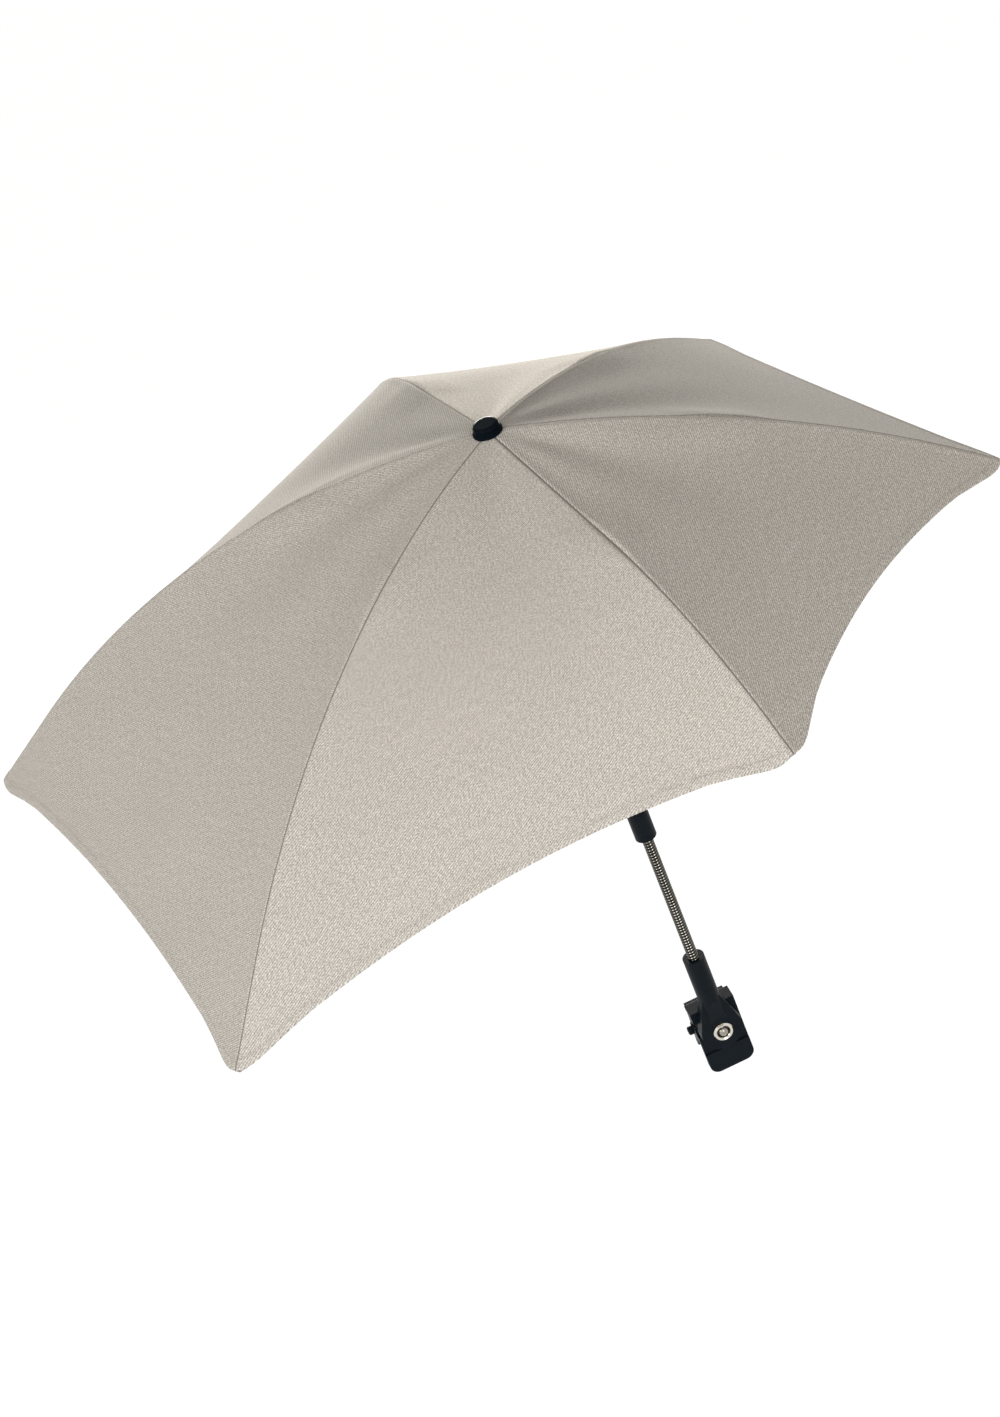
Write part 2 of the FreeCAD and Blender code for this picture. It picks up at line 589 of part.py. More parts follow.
def clamp_spring():
    begin, wire = -SPRING_TURNS * SPRING_PITCH / 2, SPRING_WIRE

    def coil(turn):
        angle = 2 * math.pi * turn
        return V(begin + SPRING_PITCH * turn, HINGE_Y + SPRING_R * math.cos(angle),
                 HINGE_Z + SPRING_R * math.sin(angle))

    quarters = range(int(4 * SPRING_TURNS))
    arcs = [Part.Arc(coil(q / 4), coil(q / 4 + 0.125), coil(q / 4 + 0.25)).toShape() for q in quarters]
    way = arcs[0].tangentAt(arcs[0].FirstParameter)
    ring = Part.Wire(Part.makeCircle(wire, coil(0), way))
    body = Part.Wire(arcs).makePipeShell([ring], True, False)
    marks = [coil(k / 16) for k in range(int(16 * SPRING_TURNS) + 1)]
    least = min((a - b).Length for k, a in enumerate(marks) for b in marks[k + 12:])
    print("clamp_spring least gap between turns", round(least - 2 * wire, 2))
    rear = V(begin, HINGE_Y + LEG_ROOM - wire - SPRING_SEAT, SPRING_LEG_Z)
    front = V(-begin, PLATE_BACK + wire + SPRING_SEAT, SPRING_LEG_Z)
    return body.fuse([cyl(wire, coil(0), rear), cyl(wire, coil(SPRING_TURNS), front)]).removeSplitter()


def build():
    ribs = rib_list()
    parts = {
        "clamp_front_jaw": front_jaw(),
        "front_jaw_pad": jaw_pad(**FRONT_PAD),
        "clamp_rear_jaw": rear_jaw(),
        "rear_jaw_pad": jaw_pad(**REAR_PAD),
        "clamp_hinge_pin": hinge_pin(),
        "clamp_spring": clamp_spring(),
        "pivot_rivet": pivot_rivet(),
        "pivot_nut": pivot_nut(),
        "swivel_arm": swivel_arm(),
        "gooseneck_lower": neck_length(ARM_TOP - NECK_IN, NECK_LOW_BEND, NECK_IN, 0),
        "gooseneck_mid": neck_length(NECK_LOW_BEND + RUN_FIT, NECK_HIGH_BEND - RUN_FIT, 0, 0),
        "gooseneck_upper": neck_length(NECK_HIGH_BEND, FERRULE_Z + NECK_IN, 0, NECK_IN),
        "gooseneck_ferrule": gooseneck_ferrule(),
        "pole_tube": pole_tube(),
        "crown": crown(ribs),
        "crown_ring": wire_ring(PIVOT_Z),
        "canopy_rosette": canopy_rosette(),
        "finial_cap": finial_cap(),
        "runner_stop": runner_stop(),
        "runner": runner(ribs),
        "runner_ring": wire_ring(RUNNER_Z),
    }
    for name, rib in ribs.items():
        rod = rib_rod(rib)
        parts["rib_" + name] = set_rib(rod, rib)
        parts["rib_tip_" + name] = set_rib(rib_tip(rib), rib)
        parts["rib_clip_" + name] = set_rib(rib_clip(rib, rod), rib)
        parts["rib_pin_" + name] = set_rib(rib_pin(rib), rib)
        parts["stretcher_" + name] = set_rib(stretcher(rib), rib)
        parts["canopy_" + name] = canopy_gore(rib, ribs)
    return parts


os.makedirs("parts", exist_ok=True)
for node, shape in build().items():
    print(node, shape.ShapeType, len(shape.Solids), shape.isValid(), round(shape.Volume, 1))
    shape.exportStep(os.path.join("parts", node + ".step"))
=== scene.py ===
import math

import bpy
from mathutils import Matrix, Vector


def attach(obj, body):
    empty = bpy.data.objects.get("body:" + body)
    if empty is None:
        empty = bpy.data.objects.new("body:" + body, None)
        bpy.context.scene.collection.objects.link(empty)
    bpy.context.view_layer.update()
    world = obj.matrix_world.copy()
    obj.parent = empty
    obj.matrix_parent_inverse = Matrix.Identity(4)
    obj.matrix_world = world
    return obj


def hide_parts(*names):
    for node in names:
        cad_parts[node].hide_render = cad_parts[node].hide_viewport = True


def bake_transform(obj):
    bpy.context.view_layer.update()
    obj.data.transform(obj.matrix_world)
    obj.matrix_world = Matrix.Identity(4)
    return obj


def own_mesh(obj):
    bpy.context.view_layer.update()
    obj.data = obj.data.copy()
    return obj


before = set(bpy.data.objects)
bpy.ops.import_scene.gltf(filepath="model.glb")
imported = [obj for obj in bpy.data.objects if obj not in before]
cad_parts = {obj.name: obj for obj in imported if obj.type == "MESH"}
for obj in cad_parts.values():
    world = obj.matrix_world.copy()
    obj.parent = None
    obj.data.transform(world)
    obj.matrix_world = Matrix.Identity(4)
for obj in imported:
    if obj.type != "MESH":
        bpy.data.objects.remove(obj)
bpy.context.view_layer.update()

# Sizes in metres and angles in degrees, the same as in the part
POLE_Y = -0.0195
APEX_Z = 0.5805
HEADING = -170.0
RIB_PIVOT_R = 0.012
FABRIC_HUB_R = 0.009
PANEL_SAG = 0.004
HEM_DIP = {"front_right": 0.035, "front_left": 0.065, "side_left": 0.070, "rear_left": 0.030,
           "rear_right": 0.085, "side_right": 0.085}
RIB_TYPES = {
    "front": {"angle": 30.0, "reach": 0.448, "drop": 0.188, "start": 1.0, "straight": 0.0096, "run": 0.070},
    "side": {"angle": 91.5, "reach": 0.343, "drop": 0.112, "start": 9.0, "straight": 0.1500, "run": 0.020},
    "rear": {"angle": 150.0, "reach": 0.332, "drop": 0.135, "start": 10.0, "straight": 0.0095, "run": 0.020},
}
EXTRA_DROOP = {"side_right": 3.5, "rear_left": -1.5, "rear_right": 3.0}
EXTRA_TURN = {"side_right": -2.0, "rear_right": 7.8}

# Cloth: its seams, hem, folds near the hub, tips and room over the clips
CLOTH_T = 0.0009
UNDER_SHARE = 0.2
SEAM_HALF = 0.0010
SEAM_DIP = 0.0006
PUCKER_AT = 0.0030
PUCKER_RISE = 0.0003
HEM_WIDTH = 0.0080
HEM_RISE = 0.0005
HEM_STEP = (HEM_WIDTH - 0.0008, HEM_WIDTH + 0.0004)
LIP_DROP = 0.0003
LIP_WIDTH = 0.0010
RIPPLE = 0.0013
RIPPLE_COUNT = 1.6
RIPPLE_SHIFT = 11.0
RIPPLE_IN = (0.03, 0.16)
RIPPLE_OUT = (0.30, 0.80)
TIP_BLUNT = 0.09
TIP_HALF = 0.0105
TIP_OUT = 0.0056
TIP_FADE = 5.5
TIP_FROM = 0.88
CLIP_AT = {"front": 0.150, "side": 0.150, "rear": 0.158}
CLIP_LIFT = 0.0016
CLIP_NEAR = 0.012
CLIP_FAR = 0.040
CLIP_SHOULDER = 0.4 * CLIP_NEAR

# Mesh of the cloth: rows from the hub to the hem, columns from a seam to the middle of a panel
ROWS = 44
HEM_ROWS = (0.0, 0.0004, 0.0012, HEM_WIDTH - 0.0010, HEM_WIDTH, HEM_WIDTH + 0.0010, HEM_WIDTH + 0.0030)
COLUMNS = 21
SEAM_COLUMNS = (0.0004, 0.0008, 0.0013, 0.0019, 0.0029, 0.0042, 0.0065, 0.0100, 0.0145, 0.0200)
EDGE_COLUMN = 0.0012
EDGE_SHARE = 0.01

# Pockets under the tips
POCKET_ROWS = 9
POCKET_AROUND = 10
POCKET_LENGTH = 0.026
POCKET_SHY = 0.0016
POCKET_HALF = 0.0062
POCKET_DEPTH = 0.0078
POCKET_ROUND = 0.8
POCKET_SINK = 0.7 * CLOTH_T
POCKET_T = 0.0006
POCKET_MOUTH = 0.82
POCKET_WIDEN = 0.18
POCKET_CLOSE = 0.55
POCKET_WIDE_AT = (0.0, 0.35)
POCKET_CLOSE_AT = (0.72, 1.0)
POCKET_STEP = 0.001
POCKET_FALL = 0.62

# Weave: scales of its noises, tones at places on each noise, relief and gloss
YARN_DARK = (0.41, 0.378, 0.336)
YARN_MID = (0.53, 0.494, 0.448)
YARN_LIGHT = (0.65, 0.612, 0.562)
FLECK_SCALE = 780
FLECK_TONES = ((0.37, YARN_DARK), (0.50, YARN_MID), (0.63, YARN_LIGHT))
WARP_SCALE = 640
WARP_STRETCH = (1.0, 0.25, 1.0)
SLUB_TONES = ((0.36, (0.91, 0.91, 0.91)), (0.64, (1.07, 1.07, 1.07)))
CLOUD_SCALE = 14
CLOUD_TONES = ((0.3, (0.96, 0.96, 0.955)), (0.7, (1.0, 1.0, 1.0)))
WALE_SCALE = 275.0
WALE_TONES = ((0.10, (0.74, 0.735, 0.73)), (0.85, (1.12, 1.12, 1.12)))
WALE_HEIGHT = 0.8
CLOTH_BUMP = (0.25, 0.0003)
CLOTH_ROUGH = (0.86, 0.97)
CLOTH_SHINE = 0.2
CLOTH_SHEEN = 0.10
SHEEN_ROUGH = 0.5
POCKET_FLECK = 900
POCKET_TONES = ((0.30, YARN_DARK), (0.50, YARN_MID), (0.72, YARN_LIGHT))
POCKET_BUMP = (0.4, 0.0004)
POCKET_ROUGH = 0.92

# Sewn lines, painted light and shade on each panel, and each rib's seam line painted as a shadow or as a
# highlight
# Half-width and strength of the painted line on each seam
PAINTED_LINE_HALF = 0.0007
SEAM_SHADE = 0.75
# Colour of the painted shadow on seam lines, also used for the hem stitches
SEAM_SHADOW_AND_STITCH = (0.12, 0.108, 0.092)
# Colour of the painted highlight on seam lines
SEAM_HIGHLIGHT = (0.62, 0.585, 0.530)
STITCH_AT = 0.0064
STITCH_PITCH = 0.0030
STITCH_HALF = 0.0004
STITCH_SHARE = 0.7
THREAD_SHADE = 0.18
# Painted light and shade of each panel: above 1 painted light, below 1 painted shade
PANEL_PAINTED_LIGHT = {"front_left": 1.06, "side_left": 1.04, "rear_left": 0.67, "rear_right": 1.18,
              "side_right": 0.78, "front_right": 1.02}
# Share of painted shadow on each rib's seam line: near 1 a dark painted shadow, near 0 a painted highlight
SEAM_SHADOW_SHARE = {"front_left": 0.95, "side_left": 1.0, "rear_left": 0.05, "rear_right": 0.9,
             "side_right": 0.9, "front_right": 0.05}

# Flexible neck
NECK_R = 0.0045
NECK_GROOVE = 0.0008
NECK_PITCH = 0.0027
ARM_TOP = 0.072
FERRULE_Z = 0.199
NECK_IN = 0.012
BEND_IN = 0.032
NECK_LOW_BEND = ARM_TOP + BEND_IN
NECK_HIGH_BEND = FERRULE_Z - BEND_IN
NECK_AROUND = 28
NECK_STEPS = 10

# Rivet: height of its axis and radius of its ring
SWIVEL_Z = -0.005
RIVET_R = 0.0082

# Plastics: name, colour, roughness, rubbed edge and shine
PLASTICS = {
    "plastic": ("black_plastic", (0.0042, 0.0075, 0.0108), 0.40, (0.014, 0.018, 0.022), 0.07),
    # The cap's plastic is a darker copy of the black plastic, painted shade that offsets the light its top
    # catches
    "cap": ("cap_plastic_shaded", (0.0034, 0.0062, 0.0092), 0.30, (0.010, 0.013, 0.016), 0.01),
    "paint": ("pole_paint", (0.0045, 0.0055, 0.0070), 0.32, (0.020, 0.021, 0.023), 0.11),
    "rubber": ("pad_rubber", (0.025, 0.025, 0.026), 0.75, (0.07, 0.07, 0.07), 0.11),
}
PLASTIC_GRAIN = 2600
PLASTIC_PATCH = 60
PLASTIC_TONES = (0.85, 1.15)
PLASTIC_GLOSS = (0.88, 1.12)
PLASTIC_BUMP = (0.12, 0.0002)
EDGE_RADIUS = 0.0006
EDGE_SAMPLES = 4
EDGE_WEAR = 3.0
EDGE_WEAR_MOST = 0.6

# Metals: name, light tone, dark tone, roughness and scale of the grain
METALS = {
    "steel": ("rib_steel", (0.60, 0.60, 0.60), (0.47, 0.47, 0.47), 0.34, 900),
    "nickel": ("nickel", (0.60, 0.57, 0.50), (0.46, 0.435, 0.38), 0.20, 1400),
}
METAL_PATCH = 90
METAL_GLOSS = (0.7, 1.3)
METAL_BUMP = (0.08, 0.0001)

# Painted shade and a painted highlight over one winding of the neck, and tones over the rivet from its
# middle to its rim with painted shade in its groove
WINDING_SHADE_AND_HIGHLIGHT = ((0.04, (0.006, 0.006, 0.005)), (0.30, (0.010, 0.009, 0.008)), (0.60, (0.020, 0.018, 0.015)),
           (0.68, (0.17, 0.163, 0.141)), (0.86, (0.17, 0.163, 0.141)), (0.94, (0.008, 0.007, 0.006)))
NECK_PATCH = 140
NECK_TONES = ((0.3, (0.82, 0.81, 0.79)), (0.7, (1.0, 1.0, 1.0)))
NECK_ROUGH = (0.09, 0.16)
RIVET_RINGS_GROOVE_SHADE = ((0.40, (0.36, 0.34, 0.29)), (0.50, (0.05, 0.046, 0.038)),
               (0.62, (0.06, 0.056, 0.048)), (0.72, (0.72, 0.69, 0.61)))
RIVET_PATCH = 240
RIVET_TONES = ((0.3, (0.88, 0.875, 0.86)), (0.7, (1.0, 1.0, 1.0)))
RIVET_ROUGH = (0.16, 0.26)

# Looks of the solids: single nodes, then groups by how their names begin
NODE_LOOKS = {"pivot_rivet": "rivet", "pivot_nut": "nickel", "finial_cap": "cap", "pole_tube": "paint",
              "canopy_rosette": "plastic", "gooseneck_ferrule": "plastic", "crown_ring": "steel",
              "runner_ring": "steel", "runner_stop": "steel", "clamp_spring": "steel"}
NAME_LOOKS = (("canopy_", "cloth"), ("gooseneck", "steel"), ("rib_tip", "plastic"), ("rib_clip", "plastic"),
              ("rib_", "steel"), ("stretcher_", "steel"))

# Camera and light
CAMERA_AT = Vector((-0.2558, -2.1806, 1.8668))
CAMERA_LOOK = Vector((-0.0745, -0.1169, 0.4311))
CAMERA_ROLL = -22.35
CAMERA_LENS = 91.6
SENSOR_WIDTH = 36.0
CAMERA_FAR = 60.0
FLOOR_Z = -0.90
FLOOR_HALF = 9.0
FLOOR_COLOUR = (0.92, 0.92, 0.92, 1)
FLOOR_ROUGH = 0.9
FLOOR_WHITE = 1.04
FLOOR_SEEN = 0.93
SURROUND_WAY = (-0.80, -0.45, 0.40)
SURROUND_TONES = ((0.15, (0.063, 0.060, 0.055)), (0.85, (0.640, 0.615, 0.565)))
LAMPS = (
    ("front", (0.5, -3.4, 2.1), (-0.05, -0.1, 0.45), 1.2, 53, (0.970, 0.973, 1.0)),
    ("left", (-2.6, -2.0, 1.7), (-0.05, -0.1, 0.45), 1.2, 47, (0.905, 0.945, 1.0)),
    ("rim", (0.5, 2.9, 0.35), (0.0, 0.1, 0.5), 1.2, 115, (1.0, 0.965, 0.90)),
)


def smooth(low, high, value):
    share = min(max((value - low) / (high - low), 0.0), 1.0)
    return share * share * (3 - 2 * share)


# Rib curves, as in the part: a straight run, an arc and a straight run
def slope(angle):
    turn = math.radians(angle)
    return math.cos(turn), -math.sin(turn)


def rib_curve(kind):
    spec = RIB_TYPES[kind]
    into = slope(spec["start"])
    out = spec["reach"] - RIB_PIVOT_R - spec["straight"] * into[0]
    up = -spec["drop"] - spec["straight"] * into[1]
    ahead, below = out * into[0] + up * into[1], out * into[1] - up * into[0]
    half = below / (ahead + spec["run"])
    bend = 2 * math.atan(half)
    radius = (ahead * (1 + half * half) - spec["run"] * (1 - half * half)) / (2 * half)
    end = spec["start"] + math.degrees(bend)
    return {"first": spec["straight"], "radius": radius, "arc": radius * bend,
            "into": into, "out": slope(end), "start": math.radians(spec["start"]),
            "length": spec["straight"] + radius * bend + spec["run"]}


def rib_point(curve, s, droop):
    along = min(s, curve["first"])
    r, z = along * curve["into"][0], along * curve["into"][1]
    if s > curve["first"]:
        swept = min(s - curve["first"], curve["arc"])
        a, b = curve["start"], curve["start"] + swept / curve["radius"]
        r += curve["radius"] * (math.sin(b) - math.sin(a))
        z += curve["radius"] * (math.cos(b) - math.cos(a))
    rest = s - curve["first"] - curve["arc"]
    if rest > 0:
        r, z = r + rest * curve["out"][0], z + rest * curve["out"][1]
    c, d = math.cos(math.radians(droop)), math.sin(math.radians(droop))
    return RIB_PIVOT_R + r * c + z * d, z * c - r * d


def rib_list():
    ribs = []
    for kind, spec in RIB_TYPES.items():
        for side, sign in (("left", 1), ("right", -1)):
            name = kind + "_" + side
            ribs.append({"name": name, "kind": kind, "curve": rib_curve(kind),
                         "angle": HEADING + sign * spec["angle"] + EXTRA_TURN.get(name, 0.0),
                         "droop": EXTRA_DROOP.get(name, 0.0)})
    return sorted(ribs, key=lambda rib: rib["angle"] % 360)


# Cloth over a rib, from the hub at 0 to the tip at 1
def seam_run(rib, t):
    begin = FABRIC_HUB_R - RIB_PIVOT_R
    return begin + t * (rib["curve"]["length"] - begin)


def seam_point(rib, t):
    r, z = rib_point(rib["curve"], seam_run(rib, t), rib["droop"])
    turn = math.radians(rib["angle"])
    return Vector((r * math.cos(turn), POLE_Y + r * math.sin(turn), APEX_Z + min(z, 0.0)))


# Little that the cloth runs out on both sides of a tip, so that its end is square and not a point
def blunt_tip(rib, other, t, v):
    away = v * (seam_point(rib, t) - seam_point(other, t)).length / TIP_HALF
    out = math.tanh(away) * (1 - smooth(1.0, TIP_FADE, away))
    return TIP_OUT / rib["curve"]["length"] * out * smooth(TIP_FROM, 1.0, t)


# Soft tension folds that run out from the hub, at a different place in each panel
def hub_ripple(v, t, dip):
    wave = math.sin(2 * math.pi * (RIPPLE_COUNT * v + RIPPLE_SHIFT * dip))
    return wave * smooth(*RIPPLE_IN, t) * (1 - smooth(*RIPPLE_OUT, t))


# Cloth spreads over the shoulders of a rib's clip, so that the clip stays under it in the fold
def clip_lift(rib, t, away):
    along = abs(seam_run(rib, t) - CLIP_AT[rib["kind"]])
    shoulder = smooth(0.0, CLIP_SHOULDER, away) * (1 - smooth(CLIP_NEAR, CLIP_FAR, away))
    return CLIP_LIFT * shoulder * (1 - smooth(CLIP_NEAR, CLIP_FAR, along))


# Point of a panel between two ribs, its distances from seam and hem, and its place in the weave
def panel_point(rib, other, t, v):
    follows = (other["angle"] - rib["angle"]) % 360 < 180
    dip = HEM_DIP[rib["name"] if follows else other["name"]]
    hollow = 4 * v * (1 - v)
    pulled = t * (1 - dip * hollow * hollow / (hollow + TIP_BLUNT)) + blunt_tip(rib, other, t, v)
    a, b = seam_point(rib, pulled), seam_point(other, pulled)
    point = a.lerp(b, v)
    point.z -= PANEL_SAG * hollow * math.sin(math.pi * t)
    point.z += RIPPLE * hollow * hub_ripple(v if follows else 1 - v, t, dip)
    span = (b - a).length
    point.z += clip_lift(rib, pulled, v * span)
    reach = seam_run(rib, 1.0) * (1 - v) + seam_run(other, 1.0) * v
    return point, v * span, (1 - t) * reach, (0.5 - v) * span, pulled * reach


# Columns crowd at the seam, spread over the panel and close with a thin one at its middle
def column_shares(span):
    close = len(SEAM_COLUMNS)
    shares = [min(away / span, 0.5 * (k + 1) / COLUMNS) for k, away in enumerate(SEAM_COLUMNS)]
    edge = 0.5 - min(EDGE_COLUMN / span, EDGE_SHARE)
    spread = COLUMNS - 1 - close
    first = shares[-1]
    shares += [first + (edge - first) * k / spread for k in range(1, spread + 1)]
    return shares + [0.5]


def row_steps(length):
    last = 1 - HEM_ROWS[-1] / length
    return [last * (k / ROWS) for k in range(ROWS)] + [1 - e / length for e in reversed(HEM_ROWS)]


# Height of the cloth's face: a valley and a pucker at the seam, a doubled hem with a rounded lip
def cloth_rise(seam, hem):
    valley = SEAM_DIP * math.exp(-(seam / SEAM_HALF) ** 2)
    pucker = PUCKER_RISE * math.exp(-(2 * seam / PUCKER_AT - 2) ** 2)
    band = HEM_RISE * (1 - smooth(*HEM_STEP, hem))
    lip = LIP_DROP * (1 - smooth(0.0, LIP_WIDTH, hem))
    return pucker - valley + band - lip


def new_object(name, vertices, faces, material):
    mesh = bpy.data.meshes.new(name)
    mesh.from_pydata(vertices, [], faces)
    mesh.validate()
    for polygon in mesh.polygons:
        polygon.use_smooth = True
    mesh.materials.append(material)
    piece = bpy.data.objects.new(name, mesh)
    bpy.context.scene.collection.objects.link(piece)
    return piece


# Points of a gore, row by row from the hub to the hem, with their seam, hem and weave measures
def gore_points(rib, left, right, steps):
    sides = [(left, k) for k in range(COLUMNS, 0, -1)] + [(right, k) for k in range(COLUMNS + 1)]
    top, under, sewn, weave = [], [], [], []
    for t in steps:
        shares = {other["name"]: [0.0] + column_shares((seam_point(rib, t) - seam_point(other, t)).length)
                  for other in (left, right)}
        for other, k in sides:
            point, seam, hem, across, along = panel_point(rib, other, t, shares[other["name"]][k])
            rise = cloth_rise(seam, hem)
            top.append(point + Vector((0, 0, rise)))
            under.append(point - Vector((0, 0, CLOTH_T - UNDER_SHARE * rise)))
            sewn.append((seam, hem))
            weave.append((across, along))
    return top, under, sewn, weave


# Faces of a gore's top, underside and rim, and the points of the rim in order
def gore_shell(rows, width):
    count = rows * width
    faces = []
    for row in range(rows - 1):
        for col in range(width - 1):
            corner = row * width + col
            faces.append((corner, corner + 1, corner + 1 + width, corner + width))
    shell = faces + [tuple(count + i for i in reversed(face)) for face in faces]
    rim = list(range(width))
    rim += [row * width + width - 1 for row in range(1, rows)]
    rim += [count - width + col for col in range(width - 2, -1, -1)]
    rim += [row * width for row in range(rows - 2, 0, -1)]
    for a, b in zip(rim, rim[1:] + rim[:1]):
        shell.append((b, a, count + a, count + b))
    return shell, rim


# Cloth gore on one rib, with maps for the weave and the sewn lines
def canopy_gore(rib, left, right, material):
    steps = row_steps(rib["curve"]["length"])
    top, under, sewn, weave = gore_points(rib, left, right, steps)
    width, count = 2 * COLUMNS + 1, len(top)
    shell, rim = gore_shell(len(steps), width)
    piece = new_object("canopy_cloth_" + rib["name"], [tuple(p) for p in top + under], shell, material)
    map_cloth(piece.data, rib, left, width, count, weave, sewn)
    crisp_edges(piece.data, set(rim), count)
    return piece


# Weave runs on across the middle of a panel, so each side of a seam measures from its own middle
def map_cloth(mesh, rib, left, width, count, weave, sewn):
    weave_map, sewn_map = mesh.uv_layers.new(name="weave"), mesh.uv_layers.new(name="sewn")
    # Face attribute tone holds each panel's painted light and shade
    tone = mesh.attributes.new("tone", "FLOAT", "FACE")
    # Face attribute seam holds each rib's share of painted shadow on its seam line
    seam = mesh.attributes.new("seam", "FLOAT", "FACE")
    for polygon in mesh.polygons:
        corners = [(i, mesh.loops[i].vertex_index % count) for i in polygon.loop_indices]
        on_left = min(index % width for i, index in corners) < COLUMNS
        tone.data[polygon.index].value = PANEL_PAINTED_LIGHT[left["name"] if on_left else rib["name"]]
        seam.data[polygon.index].value = SEAM_SHADOW_SHARE[rib["name"]]
        for i, index in corners:
            across, along = weave[index]
            weave_map.data[i].uv = (across if on_left else -across, along)
            sewn_map.data[i].uv = sewn[index]


# Rim edges stay crisp under smooth shading
def crisp_edges(mesh, rim, count):
    sharp = mesh.attributes.new("sharp_edge", "BOOLEAN", "EDGE")
    for line in mesh.edges:
        a, b = line.vertices
        sharp.data[line.index].value = (a < count) == (b < count) and {a % count, b % count} <= rim


# Flat size of a gore: widest cut, length and area along the rib
def gore_cut(rib, left, right):
    steps = row_steps(rib["curve"]["length"])
    middle = [[panel_point(rib, other, t, 0.5) for t in steps] for other in (left, right)]
    widths = [sum(points[row][1] for points in middle) for row in range(len(steps))]
    area = 0.0
    for points in middle:
        for row in range(len(steps) - 1):
            a, b = seam_point(rib, steps[row]), seam_point(rib, steps[row + 1])
            c, d = points[row + 1][0], points[row][0]
            area += ((b - a).cross(d - a).length + (c - b).cross(d - b).length) / 2
    return max(widths), rib["curve"]["length"], area


# Share of its full section that a pocket has: drawn in at the mouth, nearly closed at the tip
def pocket_swell(share):
    widened = POCKET_WIDEN * smooth(*POCKET_WIDE_AT, share)
    closed = POCKET_CLOSE * smooth(*POCKET_CLOSE_AT, share)
    return POCKET_MOUTH + widened - closed


# Points across a pocket, whose sides fall with the cloth
def pocket_row(rib, share):
    turn = math.radians(rib["angle"])
    side = Vector((-math.sin(turn), math.cos(turn), 0))
    s = rib["curve"]["length"] - POCKET_LENGTH + share * (POCKET_LENGTH - POCKET_SHY)
    r, z = rib_point(rib["curve"], s, rib["droop"])
    r_before, z_before = rib_point(rib["curve"], s - POCKET_STEP, rib["droop"])
    fall = POCKET_FALL * (z_before - z) / (r - r_before)
    swell = pocket_swell(share)
    base = Vector((r * math.cos(turn), POLE_Y + r * math.sin(turn), APEX_Z + z - POCKET_SINK))
    points = []
    for k in range(POCKET_AROUND + 1):
        angle = math.pi * k / POCKET_AROUND
        drop = POCKET_DEPTH * swell * math.sin(angle) ** POCKET_ROUND if 0 < k < POCKET_AROUND else 0.0
        across = POCKET_HALF * swell * math.cos(angle)
        points.append(base + side * across - Vector((0, 0, drop + fall * abs(across))))
    return points


# Pocket under each tip that holds the end of the rib
def tip_pocket(rib, material):
    vertices, faces = [], []
    for row in range(POCKET_ROWS):
        vertices += pocket_row(rib, row / (POCKET_ROWS - 1))
    width = POCKET_AROUND + 1
    for row in range(POCKET_ROWS - 1):
        for k in range(POCKET_AROUND):
            a = row * width + k
            faces.append((a, a + width, a + width + 1, a + 1))
    last = (POCKET_ROWS - 1) * width
    faces.append(tuple(last + k for k in range(width)))
    piece = new_object("tip_pocket_" + rib["name"], [tuple(p) for p in vertices], faces, material)
    shell = piece.modifiers.new("cloth", "SOLIDIFY")
    shell.thickness = POCKET_T
    shell.offset = -1
    return piece


# Wound neck: one strip that climbs a pitch each turn
def wound_neck(name, low, high, material):
    around, per_turn = NECK_AROUND, NECK_STEPS
    first, last = int(round(low / NECK_PITCH * per_turn)), int(round(high / NECK_PITCH * per_turn))
    vertices, faces, index = [], [], {}

    def vertex(k, j):
        if j == around:
            k, j = k + per_turn, 0
        if (k, j) not in index:
            share = (k % per_turn) / per_turn
            r = NECK_R - NECK_GROOVE * (1 - math.sin(math.pi * share))
            turn = 2 * math.pi * j / around
            z = NECK_PITCH * (k / per_turn + j / around)
            index[(k, j)] = len(vertices)
            vertices.append((r * math.cos(turn), POLE_Y + r * math.sin(turn), z))
        return index[(k, j)]

    steps = []
    for k in range(first, last):
        for j in range(around):
            faces.append((vertex(k, j), vertex(k, j + 1), vertex(k + 1, j + 1), vertex(k + 1, j)))
            steps.append(k)
    piece = new_object(name, vertices, faces, material)
    groove = piece.data.uv_layers.new(name="groove")
    for polygon, k in zip(piece.data.polygons, steps):
        for corner, i in enumerate(polygon.loop_indices):
            groove.data[i].uv = (((k % per_turn) + (1 if corner > 1 else 0)) / per_turn, 0.0)
    return piece


# Material helpers
def new_material(name):
    material = bpy.data.materials.new(name)
    material.use_nodes = True
    nodes = material.node_tree.nodes
    return material, nodes, material.node_tree.links, nodes["Principled BSDF"]


def add(nodes, kind, **values):
    node = nodes.new(kind)
    for key, value in values.items():
        if hasattr(node, key):
            setattr(node, key, value)
        else:
            node.inputs[key.replace("_", " ")].default_value = value
    return node


def math_node(nodes, links, operation, first, second=None):
    node = nodes.new("ShaderNodeMath")
    node.operation = operation
    for socket, value in zip(node.inputs, (first, second)):
        if value is None:
            continue
        if isinstance(value, (int, float)):
            socket.default_value = value
        else:
            links.new(value, socket)
    return node.outputs[0]


def colour_ramp(nodes, links, source, stops):
    ramp = nodes.new("ShaderNodeValToRGB")
    elements = ramp.color_ramp.elements
    while len(elements) < len(stops):
        elements.new(0.5)
    for element, (place, colour) in zip(elements, stops):
        element.position = place
        element.color = (*colour, 1)
    links.new(source, ramp.inputs[0])
    return ramp.outputs[0]


